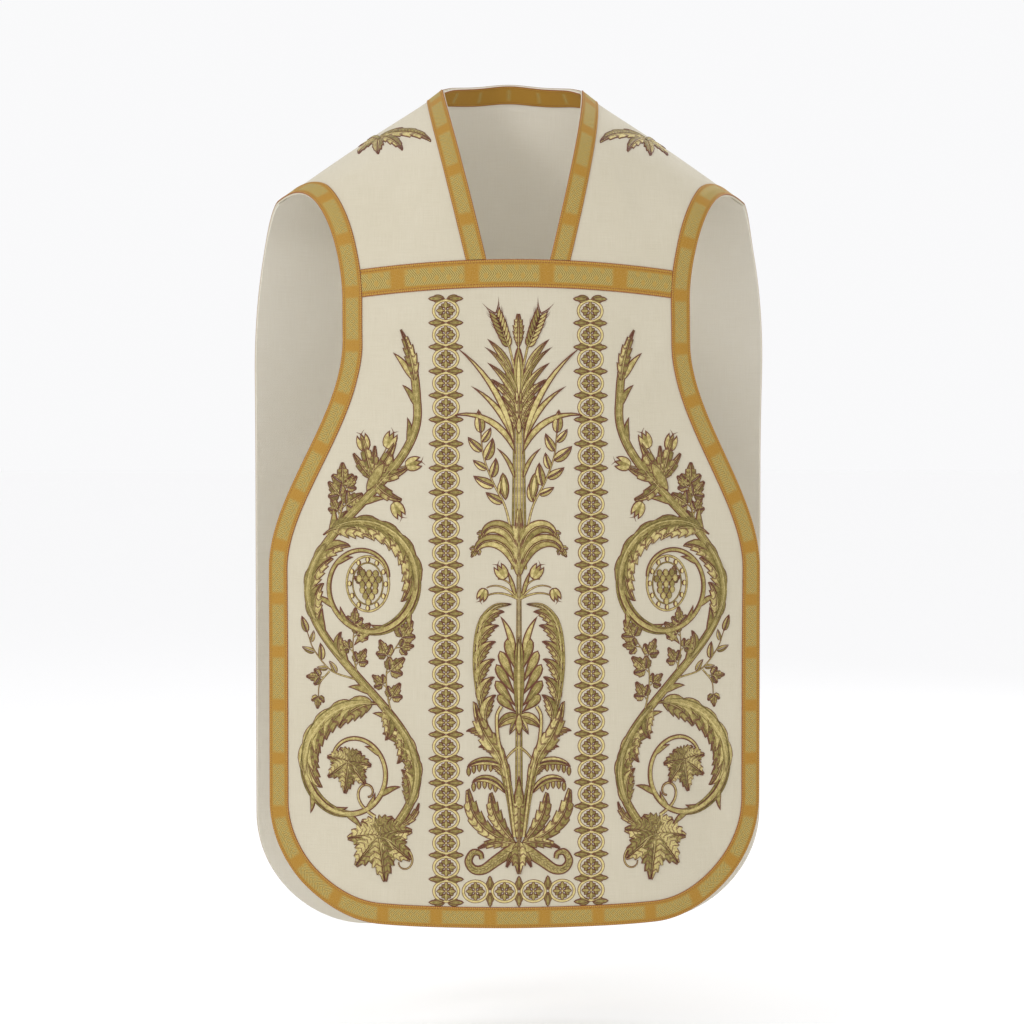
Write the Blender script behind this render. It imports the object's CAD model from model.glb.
"""The looks of the roman chasuble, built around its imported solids.

Sizes are in millimetres until a mesh is made, and then in metres. A place on the garment is a
pattern point (x, w) on one of two faces, as in the solids' own source: x runs from the centre
line to the wearer's left, w runs up the cloth, and below the line where a face stands upright
w is the height. What is sewn on a face is drawn in pattern points and lies on its surface.
"""

from collections import namedtuple

import bpy
import numpy as np
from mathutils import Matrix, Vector


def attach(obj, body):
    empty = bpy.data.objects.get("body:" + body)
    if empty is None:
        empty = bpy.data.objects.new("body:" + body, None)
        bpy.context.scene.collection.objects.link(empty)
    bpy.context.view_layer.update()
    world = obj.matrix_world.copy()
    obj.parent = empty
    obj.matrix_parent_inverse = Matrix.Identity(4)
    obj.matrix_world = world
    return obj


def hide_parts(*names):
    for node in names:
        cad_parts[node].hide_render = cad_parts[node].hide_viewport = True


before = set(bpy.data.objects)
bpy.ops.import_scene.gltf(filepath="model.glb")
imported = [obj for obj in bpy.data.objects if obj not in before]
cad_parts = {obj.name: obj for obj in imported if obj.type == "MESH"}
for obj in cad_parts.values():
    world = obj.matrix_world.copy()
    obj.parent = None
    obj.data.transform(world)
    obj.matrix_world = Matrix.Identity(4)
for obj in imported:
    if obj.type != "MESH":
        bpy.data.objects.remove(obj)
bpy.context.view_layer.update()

METRE = 0.001
RIM_ANGLE = 60

# ---- sizes, as in the solids

CLOTH = 1.8
LINING = 1.0
GAP = 0.3
FACING_LOW, FACING_HIGH = -4.4, -3.4

EDGE_BRAID = 24
NECK_BRAID = 23
ARMHOLE_TIP_BRAID = 17
ARMHOLE_TIP_REACH = 0.4
CHEST_BAND = 32

TIP_X = 276
RIDGE_TOP = 17.4
RIDGE_SLOPE = 0.75
RIDGE_ROUND = 90
NECK_RISE = 60
NECK_RISE_SPREAD = 55
CREST_RADIUS = 35
SIDE_FALL = 0.0009
DEPTH_CHANGE = 250

Face = namedtuple("Face", "toward chest_depth hem_depth full_at")
FRONT = Face(-1, 135, 150, -200)
BACK = Face(1, 120, 148, -190)

NECK_X = 82
NAPE_DIP = 20
NAPE_WAVE = 1.2
NAPE_WAVES = 3
V_FOOT_X = 36
V_CURVE = 1.6

BAND_TOP = -207
BAND_DROP = 12
BAND_DROP_AT = 190
SEAM_TUCK = 4

ARMHOLE_LOW = -250
ARMHOLE_INSET = 77
ARMHOLE_POWER = 1.8
FLARE_TOP = -300
FLARE_FOOT = -560
FRONT_HALF = 284
BACK_HALF = 305
BACK_FULL_AT = -333

Hem = namedtuple("Hem", "level bow corner half")
FRONT_HEM = Hem(-965, 10, 128, FRONT_HALF)
BACK_HEM = Hem(-1010, 10, 140, BACK_HALF)

# Soft folds: the middle at the top, the levels of its two ends, how far it drifts outwards on
# the way down, its half-width and depth, and whether it runs out at the hem.
Fold = namedtuple("Fold", "face x top foot drift width depth open")
FOLDS = [
    Fold(BACK, 128, -330, -1010, 22, 62, 5.0, True),
    Fold(BACK, 226, -480, -1010, 14, 48, -3.5, True),
    Fold(BACK, 30, -60, -330, 28, 46, -3.0, False),
    Fold(BACK, 176, -120, -420, 42, 48, 3.0, False),
    Fold(FRONT, 120, -420, -965, 20, 60, 5.0, True),
    Fold(FRONT, 212, -540, -965, 12, 46, -3.5, True),
    Fold(FRONT, 128, -60, -200, 34, 40, -2.2, False),
]
FOLD_RISE = 0.3

# Slight creases that only the dressed cloth has: the middle, the way it runs in degrees from
# upright, its half-length and half-width, and its depth. Each is bowed a little.
CREASE_BOW = 0.5
Crease = namedtuple("Crease", "face x w lean length width depth")
CREASES = [
    Crease(FRONT, -214, -840, 18, 90, 15, 1.4),
    Crease(FRONT, -40, -700, -8, 150, 20, -1.25),
    Crease(FRONT, 66, -520, 6, 120, 17, 1.25),
    Crease(FRONT, 205, -760, -14, 120, 16, -1.4),
    Crease(FRONT, 150, -330, 30, 70, 13, 1.4),
    Crease(FRONT, -150, -345, -36, 75, 13, -1.4),
    Crease(FRONT, 8, -880, 10, 70, 22, 1.1),
    Crease(FRONT, 118, -120, -24, 45, 11, 1.25),
    Crease(FRONT, -142, -135, 28, 48, 11, -1.25),
    Crease(FRONT, -190, -95, 60, 34, 9, 0.95),
    Crease(BACK, -236, -560, 8, 130, 15, 1.4),
    Crease(BACK, 244, -420, -10, 110, 14, -1.4),
    Crease(BACK, -60, -800, 6, 130, 18, -1.25),
    Crease(BACK, 72, -640, -9, 140, 17, 1.25),
    Crease(BACK, 196, -860, 16, 100, 15, 1.4),
    Crease(BACK, -190, -240, 34, 80, 15, -1.4),
    Crease(BACK, 150, -180, -38, 70, 13, 1.25),
    Crease(BACK, -120, -960, 26, 60, 16, 1.1),
    Crease(BACK, 24, -330, 5, 110, 16, -1.1),
    Crease(BACK, -36, -160, -16, 70, 12, 1.1),
]

# ---- the surfaces


def mix(a, b, share):
    return a + (b - a) * share


def smooth(t):
    t = np.clip(t, 0, 1)
    return t * t * (3 - 2 * t)


def ridge_z(x):
    """The height of the shoulder ridge."""
    neck = NECK_RISE * np.exp(-((x / NECK_RISE_SPREAD) ** 2))
    return RIDGE_TOP + neck - RIDGE_SLOPE * (np.hypot(x, RIDGE_ROUND) - RIDGE_ROUND)


def depth_at(face, x, z):
    """How far an upright face stands from the middle plane."""
    down = smooth((face.full_at - z) / DEPTH_CHANGE)
    return mix(face.chest_depth, face.hem_depth, down) - SIDE_FALL * x * x


def shoulder_arcs(face, x):
    """A face's section over the shoulder: its depth, then its long arc's radius, turn, length."""
    depth = depth_at(face, x, face.full_at)
    rise = ridge_z(x) - face.full_at
    radius = (depth**2 + rise**2 - 2 * rise * CREST_RADIUS) / (2 * (depth - CREST_RADIUS))
    turn = np.arctan2(rise - CREST_RADIUS, radius - depth)
    return depth, radius, turn, radius * turn


def ridge_line(face, x):
    """The w at which a face ends on the ridge, half a seam's gap below its top."""
    _, _, turn, long = shoulder_arcs(face, x)
    return face.full_at + long + CREST_RADIUS * (np.pi / 2 - turn) - GAP / 2


def bare_points(face, x, w):
    """Points of a face without its folds: upright, then over the long arc, then the crest."""
    depth, radius, turn, long = shoulder_arcs(face, x)
    up = w - face.full_at
    arc = up / radius
    crest = turn + (up - long) / CREST_RADIUS
    over = up >= long
    y = np.where(over, CREST_RADIUS * np.cos(crest), depth - radius * (1 - np.cos(arc)))
    crest_z = ridge_z(x) - CREST_RADIUS * (1 - np.sin(crest))
    z = np.where(over, crest_z, face.full_at + radius * np.sin(arc))
    upright = up <= 0
    y = np.where(upright, depth_at(face, x, w), y)
    z = np.where(upright, w, z)
    return np.stack([x, face.toward * y, z], -1)


def directions(face, x, w):
    """How a face's point moves with x and with w."""
    step = 0.5
    along_x = bare_points(face, x + step, w) - bare_points(face, x - step, w)
    along_w = bare_points(face, x, w + step) - bare_points(face, x, w - step)
    return along_x / (2 * step), along_w / (2 * step)


def fold_lift(face, x, w):
    """How far the folds and creases raise a face."""
    lift = np.zeros_like(x)
    for fold in FOLDS:
        if fold.face is not face:
            continue
        down = (fold.top - w) / (fold.top - fold.foot)
        fade = 1 if fold.open else smooth((1 - down) / FOLD_RISE)
        across = (np.abs(x) - (fold.x + fold.drift * down)) / fold.width
        lift = lift + fold.depth * np.exp(-(across**2)) * smooth(down / FOLD_RISE) * fade
    for crease in CREASES:
        if crease.face is not face:
            continue
        lean = np.radians(crease.lean)
        along = ((x - crease.x) * np.sin(lean) + (w - crease.w) * np.cos(lean)) / crease.length
        across = ((x - crease.x) * np.cos(lean) - (w - crease.w) * np.sin(lean)) / crease.width
        across = across + CREASE_BOW * along * along
        lift = lift + crease.depth * np.exp(-(across**2) - along**4)
    return lift


def surface(face, x, w, height):
    """Points of the model at heights above a face's outer side, for arrays of pattern points."""
    x, w, height = np.broadcast_arrays(*(np.asarray(value, float) for value in (x, w, height)))
    along_x, along_w = directions(face, x, w)
    normal = np.cross(along_x, along_w) * -face.toward
    normal /= np.linalg.norm(normal, axis=-1, keepdims=True)
    lifted = (height + fold_lift(face, x, w))[..., None]
    return bare_points(face, x, w) + normal * lifted


# ---- meshes


def mesh_piece(name, points, faces, maps, material, smooth_angle=None):
    """A mesh from points in millimetres, with UV maps given per point as {name: (n, 2)}."""
    mesh = bpy.data.meshes.new(name)
    faces = np.asarray(faces)
    mesh.from_pydata((np.asarray(points) * METRE).tolist(), [], faces.tolist())
    corners = np.empty(len(mesh.loops), int)
    mesh.loops.foreach_get("vertex_index", corners)
    for key, values in maps.items():
        layer = mesh.uv_layers.new(name=key)
        layer.data.foreach_set("uv", np.asarray(values, float)[corners].astype(np.float32).ravel())
    mesh.polygons.foreach_set("use_smooth", np.ones(len(mesh.polygons), bool))
    mesh.materials.append(material)
    piece = bpy.data.objects.new(name, mesh)
    bpy.context.scene.collection.objects.link(piece)
    if smooth_angle is not None:
        mesh.set_sharp_from_angle(angle=np.radians(smooth_angle))
    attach(piece, "root")
    return piece


def grid_faces(rows, cols, start=0):
    index = start + np.arange(rows * cols).reshape(rows, cols)
    corners = [index[:-1, :-1], index[:-1, 1:], index[1:, 1:], index[1:, :-1]]
    return np.stack(corners, -1).reshape(-1, 4)


def rim_loop(rows, cols):
    """The points round a grid, in order."""
    index = np.arange(rows * cols).reshape(rows, cols)
    return np.concatenate([index[0], index[1:, -1], index[-1, -2::-1], index[-2:0:-1, 0]])


def shell(name, face, grid, low, high, material, maps=None, flip=False):
    """A closed wall over a grid of pattern points, from one height to another.

    low and high are numbers or one height for each column.
    """
    x, w = grid[..., 0], grid[..., 1]
    rows, cols = x.shape
    outer = surface(face, x, w, high).reshape(-1, 3)
    inner = surface(face, x, w, low).reshape(-1, 3)
    count = len(outer)
    sheet = grid_faces(rows, cols)
    loop = rim_loop(rows, cols)
    after = np.roll(loop, -1)
    rim = np.stack([after, loop, loop + count, after + count], -1)
    faces = np.concatenate([sheet, sheet[:, ::-1] + count, rim])
    if (face.toward > 0) != flip:
        faces = faces[:, ::-1]
    maps = maps or {"pattern": grid}
    maps = {key: np.tile(value.reshape(-1, 2), (2, 1)) for key, value in maps.items()}
    return mesh_piece(name, np.concatenate([outer, inner]), faces, maps, material, RIM_ANGLE)


def filled_grid(top, bottom, left, right):
    """Fills the space between four lines of pattern points that meet at their ends."""
    v = ((right[:, 1] - right[0, 1]) / (right[-1, 1] - right[0, 1]))[:, None]
    top_u = (top[:, 0] - top[0, 0]) / (top[-1, 0] - top[0, 0])
    bottom_u = (bottom[:, 0] - bottom[0, 0]) / (bottom[-1, 0] - bottom[0, 0])
    u = mix(top_u[None, :], bottom_u[None, :], v)[..., None]
    v = v[..., None]
    ends = mix(mix(top[0], top[-1], u), mix(bottom[0], bottom[-1], u), v)
    return mix(top[None], bottom[None], v) + mix(left[:, None], right[:, None], u) - ends


def lengths(points):
    """The distance run along a line, at each of its points."""
    steps = np.linalg.norm(np.diff(points, axis=0), axis=1)
    return np.concatenate([[0], np.cumsum(steps)])


def cut_size(face, grid):
    """A cut's greatest length across and down its cloth, and its area, in metres."""
    x, w = grid[..., 0], grid[..., 1]
    points = surface(face, x, w, 0) * METRE
    widest = w.flat[np.abs(x).argmax()]
    across = lengths(surface(face, np.linspace(x.min(), x.max(), 99), widest, 0) * METRE)[-1]
    down = max(lengths(line)[-1] for line in points.swapaxes(0, 1))
    diagonals = np.cross(points[1:, 1:] - points[:-1, :-1], points[1:, :-1] - points[:-1, 1:])
    return (float(across), float(down)), float(np.linalg.norm(diagonals, axis=-1).sum() / 2)


# ---- edges of the pieces

ROW = 7.0
CORNER_ROWS = 16
RIDGE_POINTS, NAPE_POINTS, FRONT_POINTS, YOKE_POINTS = 28, 45, 81, 37
FINE_POINTS = 161
NAPE_BRAID_POINTS, HEM_BRAID_POINTS, BAND_POINTS = 61, 90, 90
HALVINGS, ROW_HALVINGS = 40, 30


def column(values, level):
    """Pattern points of given x, at one w or at one for each."""
    values = np.asarray(values, float)
    return np.stack(np.broadcast_arrays(values, level), -1).astype(float)


def on_ridge(face, x):
    return column(x, ridge_line(face, np.asarray(x, float)))


def along_ridge(x, length):
    """The x that lies a length farther along the ridge."""
    return x + length / np.hypot(1, ridge_z(x + 1) - ridge_z(x))


def band_top(x):
    return BAND_TOP - BAND_DROP * (x / BAND_DROP_AT) ** 2


def seam(x):
    return band_top(x) - SEAM_TUCK


def front_edge_x(w):
    """Half the front's width: the armhole, and below it the flare to the full width."""
    tip = ridge_line(FRONT, np.float64(TIP_X))
    flare = smooth((FLARE_TOP - w) / (FLARE_TOP - FLARE_FOOT))
    up = np.clip((w - ARMHOLE_LOW) / (tip - ARMHOLE_LOW), 0, 1)
    armhole = TIP_X - ARMHOLE_INSET * (1 - up**ARMHOLE_POWER) ** (1 / ARMHOLE_POWER)
    return np.where(w <= ARMHOLE_LOW, mix(TIP_X - ARMHOLE_INSET, FRONT_HALF, flare), armhole)


def back_edge_x(w):
    """Half the back's width, which grows from the shoulder tip down."""
    tip = ridge_line(BACK, np.float64(TIP_X))
    left = np.clip((w - BACK_FULL_AT) / (tip - BACK_FULL_AT), 0, 1)
    return BACK_HALF - (BACK_HALF - TIP_X) * left**2


def hem_sag(hem, x):
    return hem.bow * (1 - (x / hem.half) ** 2)


def corner_point(hem, angle):
    """A point of a hem's round corner, by its angle from the side."""
    x = hem.half - hem.corner + hem.corner * np.cos(angle)
    w = hem.level + hem.bow + hem.corner * (1 - np.sin(angle)) - hem_sag(hem, x)
    return np.stack([x, w], -1)


def hem_point(hem, x):
    """A point of a hem, by its x."""
    past = np.maximum(np.abs(x) - (hem.half - hem.corner), 0)
    rise = hem.corner - np.sqrt(hem.corner**2 - past**2)
    return np.stack([x, hem.level + hem.bow + rise - hem_sag(hem, x)], -1)


def side_line(hem, edge_x, start):
    """A side edge, from its upper end to the middle of the hem's corner."""
    foot = hem.level + hem.bow + hem.corner
    w = np.linspace(start, foot, int((start - foot) / ROW) + 2)
    angles = np.linspace(0, np.pi / 4, CORNER_ROWS + 1)[1:]
    return np.concatenate([np.stack([edge_x(w), w], -1), corner_point(hem, angles)])


def meeting(edge_x, line_w, low, high):
    """The w at which a falling edge meets each of several lines, found by halving."""
    for _ in range(HALVINGS):
        middle = (low + high) / 2
        above = middle > line_w(edge_x(middle))
        high = np.where(above, middle, high)
        low = np.where(above, low, middle)
    return np.stack([edge_x(low), low], -1)


def nape_points(angle):
    """The edge at the back of the neck, from -90 degrees on the right to 90 on the left."""
    wave = NAPE_WAVE * (np.cos(2 * NAPE_WAVES * angle) - 1) * np.cos(angle)
    level = ridge_line(BACK, np.float64(NECK_X))
    return np.stack([NECK_X * np.sin(angle), level - NAPE_DIP * np.cos(angle) + wave], -1)


def inside_line(face, edge, width, inside):
    """Points a width from an edge on the side of the point inside, square to it on the cloth."""
    before = np.concatenate([edge[:1], edge[:-1]])
    after = np.concatenate([edge[1:], edge[-1:]])
    dx, dw = (after - before).T
    along_x, along_w = directions(face, edge[:, 0], edge[:, 1])
    pairs = ((along_x, along_x), (along_x, along_w), (along_w, along_w))
    xx, xw, ww = ((a * b).sum(-1) for a, b in pairs)
    sx, sw = xw * dx + ww * dw, -(xx * dx + xw * dw)
    side = np.sign(sx * (inside[0] - edge[:, 0]) + sw * (inside[1] - edge[:, 1]))
    scale = side * width / np.sqrt(xx * sx * sx + 2 * xw * sx * sw + ww * sw * sw)
    return edge + np.stack([sx * scale, sw * scale], -1)


def inside_on_rows(face, edge, width, row_w, edge_x, step):
    """The point of each row that lies a braid's width from an edge. A row is w = row_w(x)."""
    places = surface(face, edge[:, 0], edge[:, 1], 0)
    near, far = edge_x, edge_x + 2 * step * width
    for _ in range(ROW_HALVINGS):
        middle = (near + far) / 2
        here = surface(face, middle, row_w(middle), 0)
        gaps = np.linalg.norm(here[:, None] - places[None], axis=-1).min(1)
        clear = gaps > width
        far = np.where(clear, middle, far)
        near = np.where(clear, near, middle)
    return np.stack([near, row_w(near)], -1)


def mirrored(points):
    return points * np.array([-1, 1])


def both_sides(side, across):
    """Down one side, along the hem and up the other side."""
    return np.concatenate([side, across, mirrored(side)[::-1]])


# The back. Its lines run left to right and top to bottom.
RIDGE_INNER_X = along_ridge(TIP_X, -EDGE_BRAID)
NECK_OUTER_X = along_ridge(NECK_X, NECK_BRAID)

ridge_columns = on_ridge(BACK, np.linspace(NECK_X, TIP_X, RIDGE_POINTS))
nape_line = nape_points(np.linspace(-np.pi / 2, np.pi / 2, NAPE_POINTS))
back_top = np.concatenate([mirrored(ridge_columns)[::-1], nape_line[1:-1], ridge_columns])
back_side = side_line(BACK_HEM, back_edge_x, ridge_columns[-1, 1])
back_bottom = hem_point(BACK_HEM, back_top[:, 0] / TIP_X * back_side[-1, 0])
back_grid = filled_grid(back_top, back_bottom, mirrored(back_side), back_side)

# The front below its seam, and the left yoke above it.
TIP_W = float(ridge_line(FRONT, np.float64(TIP_X)))
front_seam_end = meeting(front_edge_x, lambda x: seam(x) - GAP / 2, np.float64(ARMHOLE_LOW), TIP_W)
front_xs = np.linspace(-front_seam_end[0], front_seam_end[0], FRONT_POINTS)
front_top = column(front_xs, seam(front_xs) - GAP / 2)
front_side = side_line(FRONT_HEM, front_edge_x, front_seam_end[1])
front_bottom = hem_point(FRONT_HEM, front_xs / front_seam_end[0] * front_side[-1, 0])
front_grid = filled_grid(front_top, front_bottom, mirrored(front_side), front_side)

YOKE_ROWS = 46
FIRST_ROWS_POWER = 1.5
yoke_shares = np.linspace(0, 1, YOKE_ROWS + 1) ** FIRST_ROWS_POWER


def yoke_row(share):
    """The w of a row of the yoke for each x, from the ridge at 0 to the chest band at 1."""
    return lambda x: mix(ridge_line(FRONT, x), band_top(x) + GAP, share)


def neck_points(share):
    x = mix(NECK_X, V_FOOT_X, share**V_CURVE)
    return np.stack([x, yoke_row(share)(x)], -1)


def armhole_points(share):
    return meeting(front_edge_x, yoke_row(share), np.full_like(share, ARMHOLE_LOW), TIP_W)


finely = np.linspace(0, 1, FINE_POINTS)
neck = neck_points(yoke_shares)
armhole = armhole_points(yoke_shares)
yoke_rows = yoke_row(yoke_shares)
tip_widths = mix(ARMHOLE_TIP_BRAID, EDGE_BRAID, smooth(yoke_shares / ARMHOLE_TIP_REACH))
neck_inner = inside_on_rows(FRONT, neck_points(finely), NECK_BRAID, yoke_rows, neck[:, 0], 1)
armhole_inner = inside_on_rows(FRONT, armhole_points(finely), tip_widths, yoke_rows, armhole[:, 0], -1)
neck_inner[0] = on_ridge(FRONT, NECK_OUTER_X)
armhole_inner[0] = on_ridge(FRONT, RIDGE_INNER_X)


def yoke_seam(x):
    return seam(x) + GAP / 2


yoke_armhole_end = meeting(front_edge_x, yoke_seam, np.float64(ARMHOLE_LOW), TIP_W)
yoke_neck = np.concatenate([neck, [[V_FOOT_X, yoke_seam(V_FOOT_X)]]])
yoke_armhole = np.concatenate([armhole, [yoke_armhole_end]])
yoke_columns = np.linspace(0, 1, YOKE_POINTS)
yoke_top = on_ridge(FRONT, mix(NECK_X, TIP_X, yoke_columns))
yoke_foot_x = mix(V_FOOT_X, yoke_armhole_end[0], yoke_columns)
yoke_foot = column(yoke_foot_x, yoke_seam(yoke_foot_x))
yoke_grid = filled_grid(yoke_top, yoke_foot, yoke_neck, yoke_armhole)

# ---- materials

# The places of a Mix node's sockets for colours.
FIRST_COLOUR, SECOND_COLOUR, MIXED_COLOUR = 6, 7, 2


class Look:
    """A procedural material: a Principled shader and short names for the nodes that feed it."""

    def __init__(self, name, **constants):
        self.material = bpy.data.materials.new(name)
        self.material.use_nodes = True
        self.tree = self.material.node_tree
        self.shader = self.tree.nodes["Principled BSDF"]
        for key, value in constants.items():
            self.shader.inputs[key.replace("_", " ")].default_value = value

    def node(self, kind, **settings):
        made = self.tree.nodes.new("ShaderNode" + kind)
        for key, value in settings.items():
            setattr(made, key, value)
        return made

    def feed(self, socket, value):
        if isinstance(value, bpy.types.NodeSocket):
            self.tree.links.new(value, socket)
        else:
            socket.default_value = value

    def math(self, operation, *values):
        made = self.node("Math", operation=operation)
        for socket, value in zip(made.inputs, values):
            self.feed(socket, value)
        return made.outputs[0]

    def add(self, first, *others):
        for other in others:
            first = self.math("ADD", first, other)
        return first

    def times(self, first, second):
        return self.math("MULTIPLY", first, second)

    def less(self, first, second):
        return self.math("SUBTRACT", first, second)

    def scaled(self, value, factor, start):
        return self.math("MULTIPLY_ADD", value, factor, start)

    def larger(self, first, second):
        return self.math("MAXIMUM", first, second)

    def step(self, value, low, high):
        """0 below low, 1 above high, and smooth between."""
        made = self.node("MapRange", interpolation_type="SMOOTHSTEP")
        for socket, number in zip(made.inputs, (value, low, high)):
            self.feed(socket, number)
        return made.outputs[0]

    def blend(self, share, first, second):
        made = self.node("Mix", data_type="RGBA")
        self.feed(made.inputs["Factor"], share)
        self.feed(made.inputs[FIRST_COLOUR], first)
        self.feed(made.inputs[SECOND_COLOUR], second)
        return made.outputs[MIXED_COLOUR]

    def uv(self, name):
        split = self.node("SeparateXYZ")
        self.feed(split.inputs[0], self.node("UVMap", uv_map=name).outputs[0])
        return split.outputs[0], split.outputs[1]

    def vector(self, x, y, z):
        made = self.node("CombineXYZ")
        for socket, value in zip(made.inputs, (x, y, z)):
            self.feed(socket, value)
        return made.outputs[0]

    def noise(self, x, y, x_scale, y_scale, z=0.0, detail=2.0):
        """Noise over two values, each at a scale of its own."""
        made = self.node("TexNoise")
        place = self.vector(self.times(x, x_scale), self.times(y, y_scale), z)
        self.feed(made.inputs["Vector"], place)
        made.inputs["Scale"].default_value = 1.0
        made.inputs["Detail"].default_value = detail
        return made.outputs["Fac"]

    def wave(self, value, period):
        """A sine from 0 to 1 along a value."""
        turn = self.times(value, 2 * np.pi / period)
        return self.scaled(self.math("SINE", turn), 0.5, 0.5)

    def bump(self, height, distance, strength):
        made = self.node("Bump")
        made.inputs["Distance"].default_value = distance
        made.inputs["Strength"].default_value = strength
        self.feed(made.inputs["Height"], height)
        self.feed(self.shader.inputs["Normal"], made.outputs[0])

    def colour(self, value):
        self.feed(self.shader.inputs["Base Color"], value)

    def roughness(self, value):
        self.feed(self.shader.inputs["Roughness"], value)


def srgb(red, green, blue):
    """The linear colour of an sRGB one from 0 to 255."""
    values = np.array([red, green, blue]) / 255
    linear = np.where(values <= 0.04045, values / 12.92, ((values + 0.055) / 1.055) ** 2.4)
    return (*linear.tolist(), 1.0)


def woven_cloth(name, thread, body, shadow, slub_depth):
    """Plain weave with uneven threads, in pattern millimetres."""
    look = Look(name, Sheen_Weight=0.25, Sheen_Roughness=0.5, Specular_IOR_Level=0.25)
    x, w = look.uv("pattern")
    warp_slub = look.noise(x, w, 1.6, 0.035, detail=3.0)
    weft_slub = look.noise(x, w, 0.035, 1.6, 7.0, 3.0)
    cloudy = look.noise(x, w, 0.012, 0.009, 3.0, 3.0)
    slub = look.add(warp_slub, weft_slub)
    weave = look.times(look.wave(x, thread), look.wave(w, thread))
    tone = look.add(look.times(slub, 0.55), look.times(weave, 0.35), look.times(cloudy, 0.35))
    look.colour(look.blend(look.step(tone, 0.35, 1.25), shadow, body))
    look.roughness(look.scaled(slub, 0.12, 0.74))
    look.bump(look.add(look.times(slub, slub_depth), weave), 0.00025, 0.6)
    return look.material


def galloon(name, period, patch, motif):
    """Woven braid: gold ground, a patch of pale ribs on each repeat, and corded borders.

    Its map is millimetres along the braid and, across it, from 0 at the edge to 1.
    """
    look = Look(name, Metallic=0.15, Specular_IOR_Level=0.3)
    along, across = look.uv("braid")
    from_side = look.math("MINIMUM", across, look.less(1.0, across))

    # The patch of pale ribs in a chevron, under a lattice of gold.
    place = look.math("PINGPONG", along, period / 2)
    in_patch = look.less(1.0, look.step(place, patch / 2 - 2.5, patch / 2 + 2.5))
    in_patch = look.times(in_patch, look.step(from_side, 0.16, 0.24))
    from_middle = look.times(look.math("ABSOLUTE", look.less(across, 0.5)), EDGE_BRAID)
    rib = look.wave(look.add(along, from_middle), 2.6)
    over = look.times(across, EDGE_BRAID)
    rising, falling = look.add(along, over), look.less(along, over)
    lattice = look.times(look.wave(rising, motif), look.wave(falling, motif))
    pale = look.blend(rib, srgb(120, 100, 44), srgb(192, 170, 98))
    pale = look.blend(look.step(lattice, 0.35, 0.6), pale, srgb(172, 140, 66))
    weft = look.wave(along, 1.3)
    body = look.blend(in_patch, look.blend(weft, srgb(140, 98, 22), srgb(182, 134, 38)), pale)

    # The corded border, with a red-brown line of stitches along its inner side.
    cord = look.less(1.0, look.step(from_side, 0.06, 0.1))
    bead = look.wave(along, 2.4)
    body = look.blend(cord, body, look.blend(bead, srgb(142, 96, 30), srgb(194, 148, 58)))
    past_line = look.less(1.0, look.step(from_side, 0.12, 0.135))
    line = look.times(look.step(from_side, 0.09, 0.105), past_line)
    dash = look.step(look.wave(along, 3.4), 0.2, 0.45)
    body = look.blend(look.times(line, look.times(dash, 0.75)), body, srgb(120, 52, 30))
    rim = look.less(1.0, look.step(from_side, 0.025, 0.045))
    body = look.blend(look.times(rim, 0.8), body, srgb(140, 70, 44))

    speckle = look.noise(along, across, 0.9, 20)
    glint = look.blend(0.2, body, srgb(226, 200, 128))
    look.colour(look.blend(look.step(speckle, 0.35, 0.75), body, glint))
    look.roughness(look.scaled(speckle, 0.25, 0.45))
    relief = look.add(look.times(rib, in_patch), look.times(bead, cord), look.times(weft, 0.4))
    look.bump(relief, 0.0004, 0.8)
    return look.material


CREAM = srgb(210, 202, 182)
CREAM_SHADE = srgb(195, 186, 162)
cream_cloth = woven_cloth("cream_linen", 0.9, CREAM, CREAM_SHADE, 1.4)
lining_cloth = woven_cloth("lining_cream", 0.6, srgb(233, 228, 215), srgb(222, 215, 199), 0.6)
edge_galloon = galloon("gold_galloon", 61.5, 47.5, 7.0)
band_galloon = galloon("gold_band_galloon", 85.0, 68.0, 14.0)
facing_cloth = galloon("gold_facing", 40.0, 4.0, 9.0)

# ---- cloth

back_cloth = shell("back_cloth", BACK, back_grid, -CLOTH, 0, cream_cloth)
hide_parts("back_panel")
lining_low = -CLOTH - GAP - LINING
back_lining = shell(
    "back_lining_cloth", BACK, back_grid[::2, ::2], lining_low, -CLOTH - GAP, lining_cloth
)
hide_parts("back_lining")
front_cloth = shell("front_cloth", FRONT, front_grid, -CLOTH, 0, cream_cloth)
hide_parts("front_panel")
yoke_cloth_left = shell("yoke_cloth_left", FRONT, yoke_grid, -CLOTH, 0, cream_cloth)
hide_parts("yoke_left")
yoke_cloth_right = shell(
    "yoke_cloth_right", FRONT, mirrored(yoke_grid), -CLOTH, 0, cream_cloth, flip=True
)
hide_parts("yoke_right")

# ---- braids

# Across a braid: the place from edge to inner side, and the height of its top.
HALF_PROFILE = [(0.0, 0.75), (0.03, 1.35), (0.07, 1.5), (0.105, 1.0), (0.15, 1.2), (0.3, 1.3)]
FAR_PROFILE = [(1 - place, height) for place, height in reversed(HALF_PROFILE)]
BRAID_PROFILE = np.array([*HALF_PROFILE, (0.5, 1.32), *FAR_PROFILE])

# A point of the pattern well inside both faces.
INSIDE = (0, -500)


def braid(name, face, edge, inner, material, node, flip=False, heights=None, low=GAP):
    """A woven strip between two lines of pattern points, from its edge to its inner side."""
    shares = BRAID_PROFILE[:, 0]
    high = BRAID_PROFILE[:, 1] if heights is None else heights
    grid = mix(edge[:, None], inner[:, None], shares[None, :, None])
    middle = surface(face, *((edge + inner) / 2).T, 0)
    along = np.broadcast_to(lengths(middle)[:, None], grid.shape[:2])
    across = np.broadcast_to(shares[None], grid.shape[:2])
    maps = {"braid": np.stack([along, across], -1)}
    piece = shell(name, face, grid, low, high, material, maps, flip)
    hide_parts(node)
    return piece


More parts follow.
